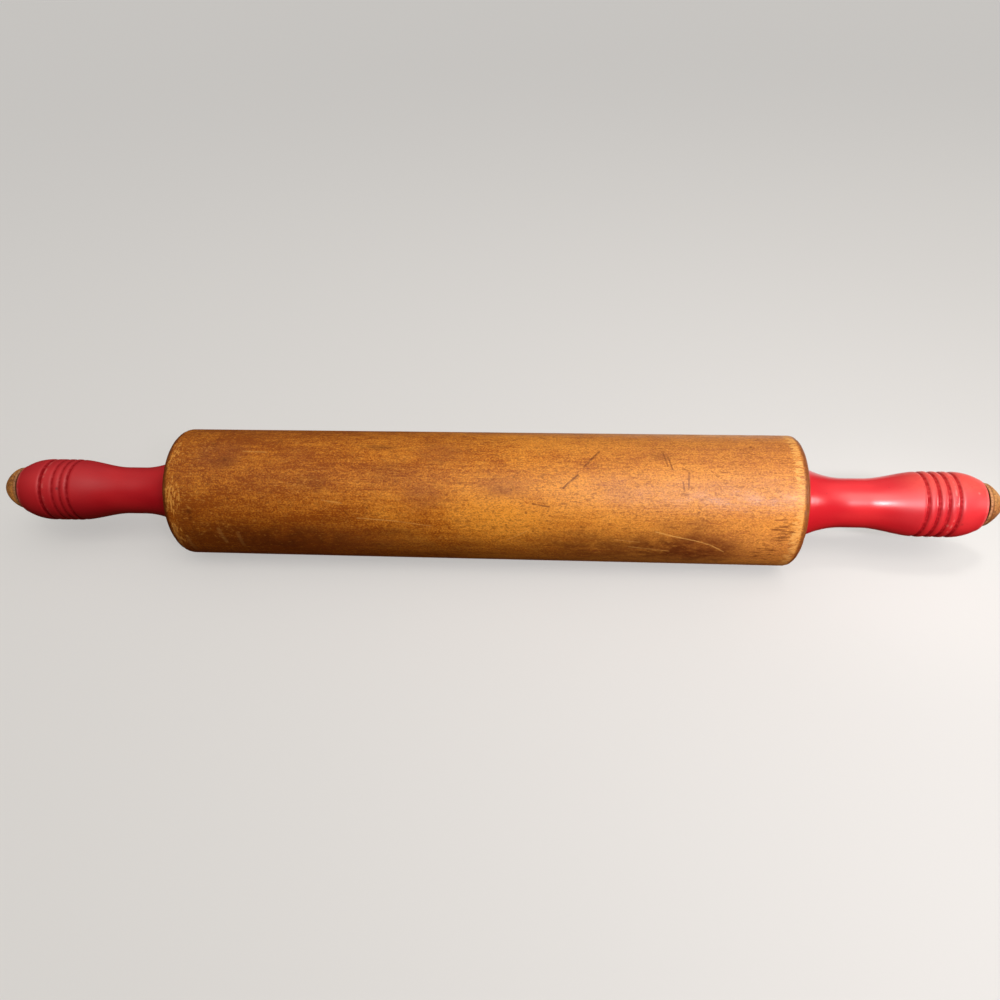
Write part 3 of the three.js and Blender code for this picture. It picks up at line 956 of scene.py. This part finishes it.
# plain studio: a pale floor, a soft sky and five softboxes
studio = {
    "floorColour": (0.32, 0.313, 0.305),
    "floorGlow": (0.41, 0.402, 0.39),  # keeps the floor evenly pale
    "floorRadius": 80.0,
    "backdrop": (0.570, 0.548, 0.530),
    "skyRight": (1.25, 1.21, 1.17),
    "skyLeft": (0.50, 0.47, 0.43),
    "skyBehind": 0.5,  # share of that light from behind the pin
    "skyLow": (0.06, 0.055, 0.05),
    "skyRim": (1.1, 1.05, 1.0),  # low behind the right end, mirrored along the pin's upper edge
    "underside": (0.056, 0.016, 0.008),  # what the pin's underside sees instead of the pale floor
    # softboxes: where, aimed at, size, power, beam in degrees and colour
    "key": {
        "place": (0.245, -0.451, 0.336),
        "aim": (0.20, 0, 0.03),
        "size": (0.070, 0.040),
        "power": 0.40,
        "beam": 76,
        "colour": (1.0, 0.955, 0.985),
    },
    "top": {
        "place": (0.60, -0.75, 1.35),
        "aim": (0.34, 0, 0.03),
        "size": (1.40, 1.00),
        "power": 3.0,
        "beam": 74,
        "colour": (1.0, 0.95, 0.88),
    },
    "side": {
        "place": (0.94, -0.19, 0.23),
        "aim": (0.17, 0, 0.03),
        "size": (0.12, 0.12),
        "power": 0.16,
        "beam": 60,
        "colour": (1.0, 0.97, 0.95),
    },
    # lights the top of the right handle
    "grip": {
        "place": (0.18, -0.01, 0.38),
        "aim": (0.193, 0, 0.03),
        "size": (0.06, 0.06),
        "power": 0.012,
        "beam": 30,
        "colour": (1.0, 0.97, 0.92),
        "mirrored": False,
    },
    # lies on the floor and throws light up at the right end
    "bounce": {
        "place": (0.20, -0.11, 0.002),
        "aim": (0.20, -0.11, 1.0),
        "size": (0.19, 0.14),
        "power": 0.085,
        "beam": 180,
        "colour": (1.0, 0.82, 0.68),
        "mirrored": False,
    },
}

cameraView = {
    "elevation": 34.3,  # of the camera about the axle, degrees
    "distance": 0.30485,  # from the axle's line
    "along": 0.02937,  # towards the right handle
    "yaw": -4.03,
    "pitch": -3.48,
    "roll": 0.97,
    "focalLength": 25.94,  # on a sensor 36 mm wide
    "riseShift": 0.04,
}


def makeFloor():
    sides, rings, vertices = 64, [], []
    for reach in (0, 0.4, 1.0, 3.0, 12.0, studio["floorRadius"]):
        first = len(vertices)
        for index in range(sides if reach else 1):
            turn = index * 2 * math.pi / sides
            vertices.append((reach * math.cos(turn), reach * math.sin(turn), 0))
        rings.append(list(range(first, len(vertices))))
    faces = [face[::-1] for pair in zip(rings, rings[1:]) for face in strip(*pair)]
    mesh = bpy.data.meshes.new("studio_floor")
    mesh.from_pydata(vertices, [], faces)
    floor = addObject("studio_floor", mesh)
    material, tree, shader = startMaterial("paleFloor")
    shader.inputs["Base Color"].default_value = opaque(studio["floorColour"])
    shader.inputs["Emission Color"].default_value = opaque(studio["floorGlow"])
    shader.inputs["Emission Strength"].default_value = 1.0
    shader.inputs["Roughness"].default_value = 0.9
    mesh.materials.append(material)
    # the floor throws no light back, so the pin's underside stays dark
    floor.visible_diffuse = False
    floor.visible_glossy = False


def makeLamp(name):
    settings = studio[name]
    lamp = bpy.data.lights.new(name + "Light", "AREA")
    lamp.shape = "RECTANGLE"
    lamp.size, lamp.size_y = settings["size"]
    lamp.energy = settings["power"]
    lamp.spread = math.radians(settings["beam"])
    lamp.color = settings["colour"]
    stand = addObject(name + "Light", lamp)
    stand.location = settings["place"]
    aim = Vector(settings["aim"]) - Vector(settings["place"])
    stand.rotation_euler = aim.to_track_quat("-Z", "Y").to_euler()
    stand.visible_camera = False
    stand.visible_glossy = settings.get("mirrored", True)


def makeSky():
    world = bpy.data.worlds.new("studioSky")
    world.use_nodes = True
    tree = world.node_tree
    way = addNode(tree, "SeparateXYZ", {0: addNode(tree, "TexCoord", {}).outputs["Generated"]}).outputs
    toRight = softStep(tree, way[0], -0.7, 0.7)
    colour = blendColour(tree, toRight, studio["skyLeft"], studio["skyRight"])
    inFront = softStep(tree, way[1], 0.4, -0.4, studio["skyBehind"], 1.0)
    high = times(tree, inFront, softStep(tree, way[2], 0.3, 0.85))
    colour = blendColour(tree, high, studio["skyLow"], colour)
    below = softStep(tree, way[2], 0.0, -0.12)
    colour = blendColour(tree, below, colour, studio["underside"])
    level = times(tree, softStep(tree, way[2], 0.22, 0.05), softStep(tree, way[2], -0.62, -0.42))
    behind = times(tree, softStep(tree, way[1], 0.35, 0.75), softStep(tree, way[0], -0.2, 0.35))
    colour = blendColour(tree, times(tree, level, behind), colour, studio["skyRim"])
    seen = addNode(tree, "LightPath", {}).outputs["Is Camera Ray"]
    colour = blendColour(tree, seen, colour, studio["backdrop"])
    tree.links.new(colour, tree.nodes["Background"].inputs[0])
    bpy.context.scene.world = world


def makeCamera():
    view = cameraView
    data = bpy.data.cameras.new("photoCamera")
    data.sensor_width = 36
    data.lens = view["focalLength"]
    data.shift_y = view["riseShift"]
    data.clip_start, data.clip_end = 0.01, 200
    camera = addObject("photoCamera", data)
    rise = math.radians(view["elevation"])
    back, up = view["distance"] * math.cos(rise), view["distance"] * math.sin(rise)
    camera.location = (view["along"], -back, axleHeight + up)
    yaw, pitch, roll = (math.radians(view[key]) for key in ("yaw", "pitch", "roll"))
    # level camera looking along +Y, turned about its own axes and then tipped down about the axle
    level = Matrix.Rotation(math.pi / 2, 3, "X")
    aimed = Matrix.Rotation(-yaw, 3, "Z") @ Matrix.Rotation(pitch, 3, "X")
    tipped = Matrix.Rotation(-rise, 3, "X")
    camera.rotation_euler = (tipped @ aimed @ level @ Matrix.Rotation(roll, 3, "Z")).to_euler()
    bpy.context.scene.camera = camera


makeFloor()
makeSky()
for lampName in ("key", "top", "side", "grip", "bounce"):
    makeLamp(lampName)
makeCamera()
bpy.context.scene.view_settings.view_transform = "Standard"
print("studio set")
